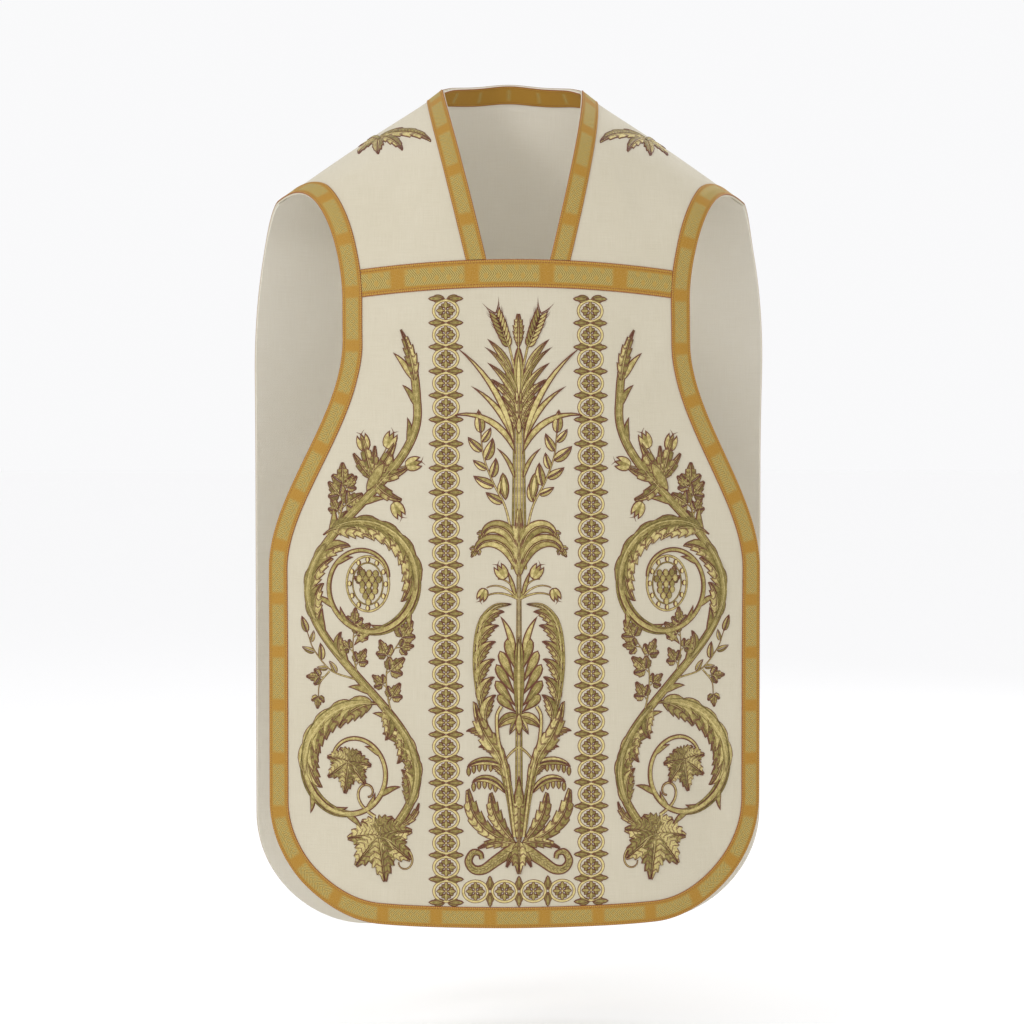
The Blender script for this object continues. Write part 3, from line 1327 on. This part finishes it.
def wreath(work, top):
    """Two arcs of acanthus round a palmette, on a base of upright leaves. It is 352 high."""
    node = top - 316
    stalk = through([(0, node + 26), (0, top - 150), (0, top + 8)], 17)
    work.strands(stalk, 10, (0.45, 0.8, 0.45), stem_outline)
    for side in (-1, 1):
        for heading, reach in ((14, 34), (40, 40), (64, 46)):
            spray = bent_on(side, (2, top - 36), heading, reach, 80, 13, 1.6)
            work.stem(spray, 3.6, 0.75)
        work.tulip((side * 15, top - 14), side * 30, 20, 0.5)
        work.tulip((side * 38, top - 24), side * 158, 17, 0.5)
        work.petal(bent_on(side, (4, top - 34), 12, 32, 10, 9), 6, 0.6)
        ends_up = [(34, -186), (44, -150), (48, -106), (43, -66), (28, -46), (8, -42)]
        arc = through_on(side, top, ends_up, 41)
        work.acanthus(part(arc, 0.06, 0.97, 33), 16, -side, 6, 0.55, body=False)
        work.strands(arc, 9.5, (0.45, 0.85, 0.6), spindle_outline, lift=0.9)
        work.petal(bent_on(side, (6, top - 100), 2, 48, 34, 9), 9, 0.7, outline=1.1)
        for level, start, spread in ((97, 14, 62), (66, 14, 30)):
            foot = (start, node + level - 8)
            eyebrow(work, bent_on(side, foot, spread, 48, 130 - spread, 13, 1.4), 5)
        rising = [(6, 8), (10, 54), (21, 98), (36, 122), (46, 144), (50, 163)]
        long_leaf = through_on(side, node, rising, 31)
        work.acanthus(part(long_leaf, 0.42, 0.86, 21), 12, side, 3, 0.5, body=False)
        broad = part(long_leaf, 0.5, 1, 15)
        work.leaf(broad, 23, 0.55, teeth=4, toothed=toothed_on(side, 1, 0.5), lift=0.8)
        work.strands(part(long_leaf, 0, 0.86, 25), 10, (0.45, 0.85, 0.55), spindle_outline, lift=1.0)
        inner_ups = [(5, 10), (14, 80), (23, 118), (25, 146), (20, 158)]
        inner_stem = through_on(side, node, inner_ups, 25)
        work.leaf(part(inner_stem, 0.3, 0.8, 13), 12, 0.5, teeth=4, toothed=(0.6, 0.6), lift=0.5)
        work.stem(inner_stem, 4.6, 0.85, np.ones_like, outline=0.8, lift=0.9)
        work.stem(bent_on(side, (0, node + 112), 118, 26, 40, 9), 4.2, 0.7, lift=0.3)
    work.petal(bent((0, node + 82), 180, 42, 0, 9), 13, 0.55, club_outline, outline=1.2, lift=0.5)
    palmette(work, node + 147)
    for reaching, width in (((33, 15), (51, 36), (58, 64)), 22), (((17, 18), (28, 38), (32, 60)), 20):
        for side in (-1, 1):
            spine = through_on(side, node, ((1, 0), *reaching), 19)
            toothed = toothed_on(-side, 1, 0.6)
            work.leaf(spine, width, 0.5, teeth=6, toothed=toothed, outline_of=fan_outline, lift=0.1)
    work.leaf(bent((0, node - 2), 0, 60, 0, 13), 24, 0.55, teeth=6, outline_of=fan_outline, lift=0.5)
    for side in (-1, 1):
        out = [(2, -2), (14, -9), (27, -18), (40, -27), (51, -27)]
        rolling = [*out, (57, -18), (52, -8), (44, -9), (42, -15)]
        volute = through_on(side, node, rolling, 49)
        work.leaf(bent_on(side, (2, node + 2), 74, 46, 46, 13), 17, 0.5, teeth=5, lift=0.2)
        work.stem(volute, 16, 0.55, volute_outline, outline=1.2, lift=0.6)
        work.stem(volute, 2.4, 0.95, stem_outline, outline=0.4, lift=2.0, crown=0.4)
        for share in np.arange(0.1, 0.9, 0.045):
            place, heading = point_on(volute, share)
            for turn in (-38, 38):
                rib = bent(place, heading + turn, 8.6 * volute_outline(share), 0, 3)
                work.stem(rib, 1.5, DARK_THREAD, taper_outline, lift=1.9, crown=0.5)
        work.leaf(bent_on(side, (0, node + 2), 146, 30, 12, 11), 14, 0.5, teeth=4, lift=0.7)
    work.leaf(bent((0, node + 6), 180, 38, 0, 11), 24, 0.55, teeth=4, lift=1.2)


# ---- scrolls of the two sides

# Each scroll: its middle, the heading it starts at, how far it turns, its radii at even steps of
# the turn, and the width of its sheath's lobes.
Scroll = namedtuple("Scroll", "x w start sweep radii broad")
SCROLLS = [
    Scroll(160, -210, 60, -385, (76, 53, 49, 38), 23),
    Scroll(195, -405, -100, 392, (72, 63, 50, 34), 20),
    Scroll(176, -628, 44, -475, (78, 58, 47, 28), 27),
    Scroll(199, -842, -28, 440, (88, 52, 46, 26), 27),
]
STEM_MIDDLE, STEM_SWING = 182.0, 67.0
STEM_TURN_AT, STEM_HALF_PERIOD = -227.0, 205.0
STEM_FOOT = -900.0
WHOLE_STEM_TOP, LOWER_STEM_TOP = -190, -425
STEM_WIDTH, STEM_RIBS_WIDTH = 11.4, 8.6
SHOULDER_STEM_X = 166.0


def winding(w):
    """The x of the scroll stem, which swings between the border and the edge."""
    return STEM_MIDDLE + STEM_SWING * np.cos(np.pi * (w - STEM_TURN_AT) / STEM_HALF_PERIOD)


def stem_part(low, high, shift, count=25):
    """A stretch of the scroll stem, from one level to another."""
    w = np.linspace(low, high, count)
    return part(np.stack([winding(w), w + shift], -1), 0, 1, count)


def scroll_branch(work, scroll, shift):
    """A branch that rolls up, in a sheath of acanthus where it leaves the stem."""
    centre = (scroll.x, scroll.w + shift)
    spine = spiral(centre, scroll.start, scroll.sweep, scroll.radii, 97)
    turn = np.sign(scroll.sweep)
    work.stem(spine, 10.0, 0.6, rolled_outline, outline=1.0, crown=1.3)
    work.spurs(spine, (0.42, 0.55, 0.68), -turn, 30, 0.55)
    work.spurs(spine, (0.5, 0.62, 0.8), turn, 25, 0.5)
    work.strands(part(spine, 0.26, 0.6, 31), 14, (0.3, 0.6, 0.9, 0.45), lift=0.5)
    work.strands(part(spine, 0.62, 0.78, 21), 7, (0.4, 0.8), lift=0.4)
    work.acanthus(part(spine, 0.02, 0.38, 31), scroll.broad, turn, 5, 0.5)


# Acanthus on the scroll stem: from one level to another, its side, its width and its lobes.
StemLeaf = namedtuple("StemLeaf", "low high side width lobes")
STEM_LEAVES = [
    StemLeaf(-880, -800, 1, 22, 3),
    StemLeaf(-765, -835, -1, 20, 3),
    StemLeaf(-716, -650, -1, 17, 2),
    StemLeaf(-672, -580, -1, 23, 3),
    StemLeaf(-460, -360, 1, 21, 3),
    StemLeaf(-300, -236, -1, 16, 2),
    StemLeaf(-222, -172, 1, 14, 2),
]


def side_scrolls(face, first, shift=0.0):
    """The stem on the left side, with its scrolls from the first one down, raised by a shift."""
    work = Needlework(face)
    whole = first == 0
    line = stem_part(STEM_FOOT, WHOLE_STEM_TOP if whole else LOWER_STEM_TOP, 0, 110)
    if whole:
        ridge = ridge_line(face, np.float64(SHOULDER_STEM_X))
        upper = [(222, -160), (196, -115), (181, -70), (SHOULDER_STEM_X, ridge - 3)]
    else:
        upper = [(118, -395), (124, -366)]
    stem = np.concatenate([line, through([line[-1], *upper], 31)[1:]])
    stem[:, 1] += shift
    stem = part(stem, 0, 1, 150)
    work.stem(stem, STEM_WIDTH, 0.5, np.ones_like, outline=1.0, crown=1.2)
    work.strands(stem, STEM_RIBS_WIDTH, (0.4, 0.9, 0.55), np.ones_like, lift=0.6)
    for share in np.arange(0.2, 0.95, 0.07):
        place, _ = point_on(stem, share)
        work.spurs(stem, (share,), 1 if place[0] < STEM_MIDDLE else -1, 34, 0.5)

    def at(x, w):
        return (x, w + shift)

    def ivy_twig(points, count, leaves, size, tone, **kind):
        spine = through([at(*point) for point in points], count)
        work.twig(spine, leaves, size, tone, kind="ivy", **kind)

    if not whole:
        work.leaf(bent(at(118, -398), 4, 62, 24, 15), 19, 0.55, teeth=6, lift=0.6)
        work.petal(bent(at(121, -396), 22, 40, 30, 11), 9, 0.7, lift=0.3)
    for scroll in SCROLLS[first:]:
        scroll_branch(work, scroll, shift)
    for leaf in STEM_LEAVES:
        if max(leaf.low, leaf.high) < line[-1, 1]:
            stretch = stem_part(leaf.low, leaf.high, shift)
            work.acanthus(stretch, leaf.width, leaf.side, leaf.lobes, 0.5)
    work.spurs(stem_part(-640, -560, shift), (0.75,), 1, 40, 0.5)
    if whole:
        upper_twigs(work)
        work.vine_leaf((190, -390), 195, 42, 0.5)
    flowers_on_node(work, at(169, -508))
    if whole:
        ivy_twig([(222, -560), (214, -535), (216, -505), (230, -474)], 19, 6, 22, 0.48, width=4.0)
    else:
        ivy_twig([(226, -572), (212, -556), (206, -534), (206, -512)], 19, 6, 22, 0.48, width=4.0)
    berries(work, at(175, -627))
    ivy_twig([(186, -740), (194, -705), (192, -672)], 13, 4, 20, 0.5)
    work.twig(through([at(192, -736), at(222, -727), at(243, -704), at(251, -684)], 17), 6, 18, 0.45)
    ivy_twig([(224, -728), (236, -742), (238, -758)], 13, 2, 18, 0.5)
    work.curl(at(236, -812), 40, 44, -270, 0.75, 3.4)
    ivy_twig([(140, -790), (151, -752), (150, -716), (132, -686)], 19, 6, 21, 0.52)
    work.vine_leaf(at(199, -831), 172, 33, 0.5)
    work.vine_leaf(at(161, -914), 188, 47, 0.55)
    work.leaf(bent(at(134, -900), -70, 34, 60, 11), 12, 0.5, teeth=4, lift=0.3)
    work.curl(at(166, -892), 60, 74, -330, 0.75, 5)
    work.curl(at(140, -918), -120, 58, -250, 0.7, 4)
    return work


def flowers_on_node(work, node):
    """Buds on long stalks and pointed leaves about a knot of the stem."""
    for heading, reach in ((-62, 46), (-22, 42), (14, 36), (-122, 40)):
        spine = bent(node, heading, reach, heading * 0.25, 11)
        work.stem(spine, 3.0, 0.7, outline=0.8)
        tip, along = point_on(spine, 0.9)
        work.tulip(tip, along, 22, 0.5)
    leaves = ((-40, 50, 18), (18, 50, 17), (-88, 46, 16), (-150, 44, 17), (48, 38, 15), (-4, 38, 14))
    for heading, reach, width in leaves:
        spine = bent(node, heading, reach, -heading * 0.35, 11)
        work.leaf(spine, width, 0.48, teeth=3, toothed=(0.7, 0.7), lift=0.4)
    middle = bent((node[0] + 8, node[1] - 14), -34, 40, 0, 11)
    work.petal(middle, 15, 0.5, bud_outline, outline=1.3, lift=0.9)


def upper_twigs(work):
    """What grows about the first scroll, on the upper back."""
    curled_flower(work, (160, -208))
    work.twig(through([(229, -168), (227, -136), (217, -108)], 13), 3, 23, 0.5, kind="ivy")
    work.curl((152, -142), -10, 92, -300, 0.75, 4)
    work.curl((146, -142), 12, 88, 280, 0.75, 4)
    work.stem(through([(150, -144), (142, -118), (146, -98), (136, -92)], 15), 4, 0.7)
    work.ivy_leaf((140, -92), -60, 27, 0.55)
    work.ivy_leaf((162, -106), 70, 25, 0.55)
    work.curl((141, -100), -80, 44, -300, 0.75, 3.4)
    work.leaf(bent((176, -78), 30, 26, -30, 9), 15, 0.5, teeth=4)
    work.leaf(bent((202, -132), 20, 34, -40, 9), 12, 0.5, lift=0.4)
    work.leaf(bent((196, -122), -14, 30, 20, 9), 10, 0.5, lift=0.4)
    leaves = ((184, -300, 30, 25), (150, -300, 20, 24), (178, -338, 10, 30), (158, -322, -30, 22))
    for x, w, heading, size in leaves:
        work.ivy_leaf((x, w), heading, size, 0.5)
    work.stem(through([(178, -322), (168, -300), (150, -296)], 9), 2.8, 0.7)
    work.leaf(bent((133, -290), -24, 30, 10, 9), 14, 0.7, teeth=4)
    work.ivy_leaf((224, -306), 160, 34, 0.45)
    work.ivy_leaf((216, -326), 190, 26, 0.5)
    work.curl((214, -318), 80, 110, -330, 0.75, 3.6)
    work.stem(through([(133, -392), (134, -350), (142, -318), (136, -290)], 13), 3.2, 0.7)
    work.grapes((124, -304), 178, 6, 4.6, 0.45)


def curled_flower(work, centre):
    """A bloom whose petals all sweep round one way, over an oval leaf and a toothed one."""
    x, w = centre
    for radius, sweep in ((50, -140), (42, -166), (34, -142), (26, -172), (18, -150)):
        radii = (mix(46, radius, 0.45), mix(42, radius, 0.8), radius)
        spine, tone = spiral((x + 14, w - 6), 48, sweep, radii, 21), 0.36 + 0.006 * radius
        work.petal(spine, 8.6, tone, lobe_outline, outline=0.9, lift=0.012 * radius)
    oval = bent((x - 4, w - 8), 76, 46, 24, 13)
    work.petal(oval, 21, 0.45, bud_outline, outline=1.4, lift=0.4)
    work.petal(part(oval, 0.08, 0.92, 9), 10, 0.8, bud_outline, outline=0.9, lift=0.9)
    for heading, reach, width in ((96, 46, 16), (118, 46, 15), (142, 40, 13)):
        work.leaf(bent((x - 2, w - 18), heading, reach, 26, 13), width, 0.6, teeth=6, lift=0.3)


def berries(work, centre):
    """A bunch of grapes and a leaf in an oval of small loops."""
    work.ring(centre, 28, 33, 3.6, 0.7, outline=0.9, count=41)
    work.ring(centre, 20, 25, 2.4, 0.5, outline=0.8, count=41)
    for angle in np.arange(0, 360, 30):
        at = np.asarray(centre) + towards(angle) * np.array([22.5, 27.5])
        work.disc(at, 3.2, 0.85, outline=0.9, lift=0.4)
    work.ivy_leaf((centre[0] + 5, centre[1] + 4), 20, 18, 0.3)
    work.grapes((centre[0] - 2, centre[1] + 12), 178, 6, 4.2, 0.4)


def shoulder_leaf(face):
    """The end of the left scroll stem, where it comes over the shoulder on to the yoke."""
    work = Needlework(face)
    ridge = float(ridge_line(face, np.float64(SHOULDER_STEM_X)))
    stalk = through([(SHOULDER_STEM_X, ridge - 3), (160, -20), (156, -30)], 11)
    for heading, reach, bend, width in (
        (70, 26, 50, 13),
        (110, 40, 60, 18),
        (-66, 28, -30, 12),
        (-96, 70, -48, 21),
        (-138, 50, -20, 17),
        (174, 42, 6, 17),
    ):
        spine = bent((156, -24), heading, reach, bend, 15)
        work.leaf(spine, width, 0.58, teeth=5, toothed=toothed_on(heading), lift=0.002 * reach)
    work.stem(stalk, 7, 0.62, np.ones_like, lift=0.5)
    return work


# The thread's colours by its tone.
THREAD_RAMP = (
    (0.0, srgb(80, 67, 30)),
    (0.35, srgb(125, 110, 54)),
    (0.7, srgb(174, 156, 93)),
    (1.0, srgb(222, 205, 142)),
)


def gold_thread():
    """Satin stitch in gold thread, shaded from olive to pale gold, edged in red-brown cord."""
    look = Look("gold_thread", Specular_IOR_Level=0.35, Sheen_Weight=0.08)
    along, from_edge = look.uv("thread")
    tone, outline = look.uv("finish")
    ribs, _ = look.uv("ribs")

    stitch = look.wave(look.add(along, look.times(from_edge, 0.7)), 1.25)
    fibre = look.noise(along, from_edge, 1.4, 0.9, tone)
    patchy = look.noise(along, from_edge, 0.22, 0.5, tone)
    value = look.add(
        tone,
        look.scaled(stitch, 0.3, -0.15),
        look.scaled(fibre, 0.7, -0.35),
        look.scaled(patchy, 0.9, -0.47),
        look.times(look.step(from_edge, 1.2, 3.4), 0.1),
    )
    ramp = look.node("ValToRGB")
    elements = ramp.color_ramp.elements
    while len(elements) < len(THREAD_RAMP):
        elements.new(0.5)
    for element, (place, colour) in zip(elements, THREAD_RAMP):
        element.position, element.color = place, colour
    look.feed(ramp.inputs[0], value)

    # Brown: the outline, a leaf's side veins, one to a tooth, and what is dark all over.
    near = look.less(1.0, look.step(from_edge, look.times(outline, 0.7), outline))
    near = look.times(near, look.math("GREATER_THAN", outline, 0.01))
    turns = look.math("DIVIDE", look.add(along, from_edge), look.larger(ribs, 1.0))
    vein = look.step(look.wave(turns, 1.0), 0.74, 0.96)
    vein = look.times(vein, look.times(look.math("GREATER_THAN", ribs, 2.0), 0.8))
    dark = look.math("LESS_THAN", tone, DARK_THREAD / 2)
    edged = look.larger(near, look.larger(vein, dark))
    brown = look.blend(fibre, srgb(80, 39, 25), srgb(122, 70, 46))
    body = look.blend(edged, ramp.outputs[0], brown)

    is_white = look.math("GREATER_THAN", tone, (1 + WHITE_THREAD) / 2)
    white = look.blend(fibre, srgb(196, 184, 166), srgb(222, 214, 200))
    look.colour(look.blend(is_white, body, white))
    bare = look.less(1.0, look.larger(edged, is_white))
    look.feed(look.shader.inputs["Metallic"], look.times(bare, 0.3))
    look.roughness(look.scaled(fibre, 0.2, 0.4))
    look.bump(look.less(stitch, look.times(vein, 2.0)), 0.0003, 0.7)
    return look.material


# ---- the sewn pieces

BACK_ROW, FRONT_ROW = -968.0, -923.0
BACK_ROUNDELS, FRONT_ROUNDELS = 36, 25
FRONT_SCROLL_SHIFT = 52.0
SCROLL_INNER_X, FRONT_SCROLL_SHARE = COLUMN_X + 20, 0.93
RIDGE_SEAM_POINTS, RIDGE_SEAM_WIDTH, RIDGE_SEAM_DROP = 40, 1.1, 1.6

thread = gold_thread()


def left_and_right(work, name):
    """The pieces of the left side's work and of its mirror image."""
    left = work.piece(name + "_left", thread)
    mirror = Needlework(work.face)
    mirror.copy(work, mirror=True)
    return left, mirror.piece(name + "_right", thread)


seams = Needlework(BACK)
ridge_seam_x = np.linspace(NECK_OUTER_X + 1, RIDGE_INNER_X - 1, RIDGE_SEAM_POINTS)
for side in (-1, 1):
    ridge_seam = on_ridge(BACK, side * ridge_seam_x) - (0, RIDGE_SEAM_DROP)
    seams.stem(ridge_seam, RIDGE_SEAM_WIDTH, DARK_THREAD, np.ones_like, outline=0.0, crown=0.4)
shoulder_seams = seams.piece("shoulder_seams", thread)

back_borders = borders(BACK, BACK_ROW, BACK_ROUNDELS).piece("back_borders", thread)
front_borders = borders(FRONT, FRONT_ROW, FRONT_ROUNDELS).piece("front_borders", thread)

stalk = Needlework(BACK)
ears_and_leaves(stalk, -30, 0.76)
lily(stalk, -160)
ears_and_leaves(stalk, -432, 1.0)
wreath(stalk, -600)
back_stalk = stalk.piece("back_stalk", thread)

stalk = Needlework(FRONT)
ears_and_leaves(stalk, -264, 0.85)
lily(stalk, -296, buds=False)
wreath(stalk, -600 + FRONT_ROW - BACK_ROW)
front_stalk = stalk.piece("front_stalk", thread)

back_scroll_left, back_scroll_right = left_and_right(side_scrolls(BACK, 0), "back_scroll")
front_scrolls = side_scrolls(FRONT, 2, FRONT_SCROLL_SHIFT)
front_scrolls.narrowed(SCROLL_INNER_X, FRONT_SCROLL_SHARE)
front_scroll_left, front_scroll_right = left_and_right(front_scrolls, "front_scroll")
shoulder_leaf_left, shoulder_leaf_right = left_and_right(shoulder_leaf(FRONT), "shoulder_leaf")

# ---- the sheets

Sheet = namedtuple("Sheet", "piece face grid carries")
BACK_TRIM = [back_edge_galloon, nape_galloon, shoulder_seams]
BACK_NEEDLEWORK = [back_borders, back_stalk, back_scroll_left, back_scroll_right]
FRONT_TRIM = [front_edge_galloon, chest_galloon]
FRONT_NEEDLEWORK = [front_borders, front_stalk, front_scroll_left, front_scroll_right]
SHEETS = [
    Sheet(back_cloth, BACK, back_grid, BACK_TRIM + BACK_NEEDLEWORK),
    Sheet(back_lining, BACK, back_grid, [nape_gold_facing]),
    Sheet(front_cloth, FRONT, front_grid, FRONT_TRIM + FRONT_NEEDLEWORK),
    Sheet(yoke_cloth_left, FRONT, yoke_grid, [neck_galloon_left, shoulder_leaf_left]),
    Sheet(yoke_cloth_right, FRONT, mirrored(yoke_grid), [neck_galloon_right, shoulder_leaf_right]),
]
for sheet in SHEETS:
    flat, area = cut_size(sheet.face, sheet.grid)

# ---- floor, light and camera

# In metres and degrees, and the lens in millimetres.
FLOOR_REACH, FLOOR_LEVEL = 60.0, -1.13
WHITE_PAPER, WHITE_SKY, SKY_STRENGTH = srgb(254, 254, 254), srgb(254, 254, 255), 0.96
Light = namedtuple("Light", "name place size power")
LIGHTS = [
    Light("key", (-2.6, -2.4, 1.3), 1.2, 34),
    Light("back_key", (2.6, 2.4, 1.3), 1.2, 34),
]
LIT_PLACE = (0, 0, -0.45)
CAMERA_AZIMUTH, CAMERA_DISTANCE, CAMERA_HEIGHT = -3, 3.2, -0.412
AIM = (0, 0, -0.497)
LENS = 95


def studio_floor():
    paper = Look("studio_paper", Specular_IOR_Level=0.2)
    paper.colour(WHITE_PAPER)
    paper.roughness(0.9)
    mesh = bpy.data.meshes.new("studio_floor")
    signs = ((-1, -1), (1, -1), (1, 1), (-1, 1))
    corners = [(FLOOR_REACH * x, FLOOR_REACH * y, FLOOR_LEVEL) for x, y in signs]
    mesh.from_pydata(corners, [], [(0, 1, 2, 3)])
    mesh.materials.append(paper.material)
    floor = bpy.data.objects.new("studio_floor", mesh)
    bpy.context.scene.collection.objects.link(floor)


def studio_sky():
    world = bpy.data.worlds.new("studio")
    world.use_nodes = True
    colour, strength = world.node_tree.nodes["Background"].inputs[:2]
    colour.default_value, strength.default_value = WHITE_SKY, SKY_STRENGTH
    bpy.context.scene.world = world
    bpy.context.scene.view_settings.view_transform = "Standard"


def aimed(name, data, place, aim):
    """A lamp or camera at a place, turned to what it points at."""
    thing = bpy.data.objects.new(name, data)
    thing.location = place
    thing.rotation_mode = "QUATERNION"
    thing.rotation_quaternion = (Vector(aim) - thing.location).to_track_quat("-Z", "Y")
    bpy.context.scene.collection.objects.link(thing)
    return thing


def studio_lights():
    """A soft light high on one side of the front, and the same for the back."""
    for light in LIGHTS:
        data = bpy.data.lights.new(light.name, "AREA")
        data.size, data.energy = light.size, light.power
        aimed(light.name, data, light.place, LIT_PLACE)


def main_camera():
    """At the height of the waist and nearly level, a little to the wearer's right."""
    data = bpy.data.cameras.new("camera")
    data.lens = LENS
    azimuth = np.radians(CAMERA_AZIMUTH)
    x, y = CAMERA_DISTANCE * np.sin(azimuth), -CAMERA_DISTANCE * np.cos(azimuth)
    bpy.context.scene.camera = aimed("camera", data, (x, y, CAMERA_HEIGHT), AIM)


studio_floor()
studio_sky()
studio_lights()
main_camera()
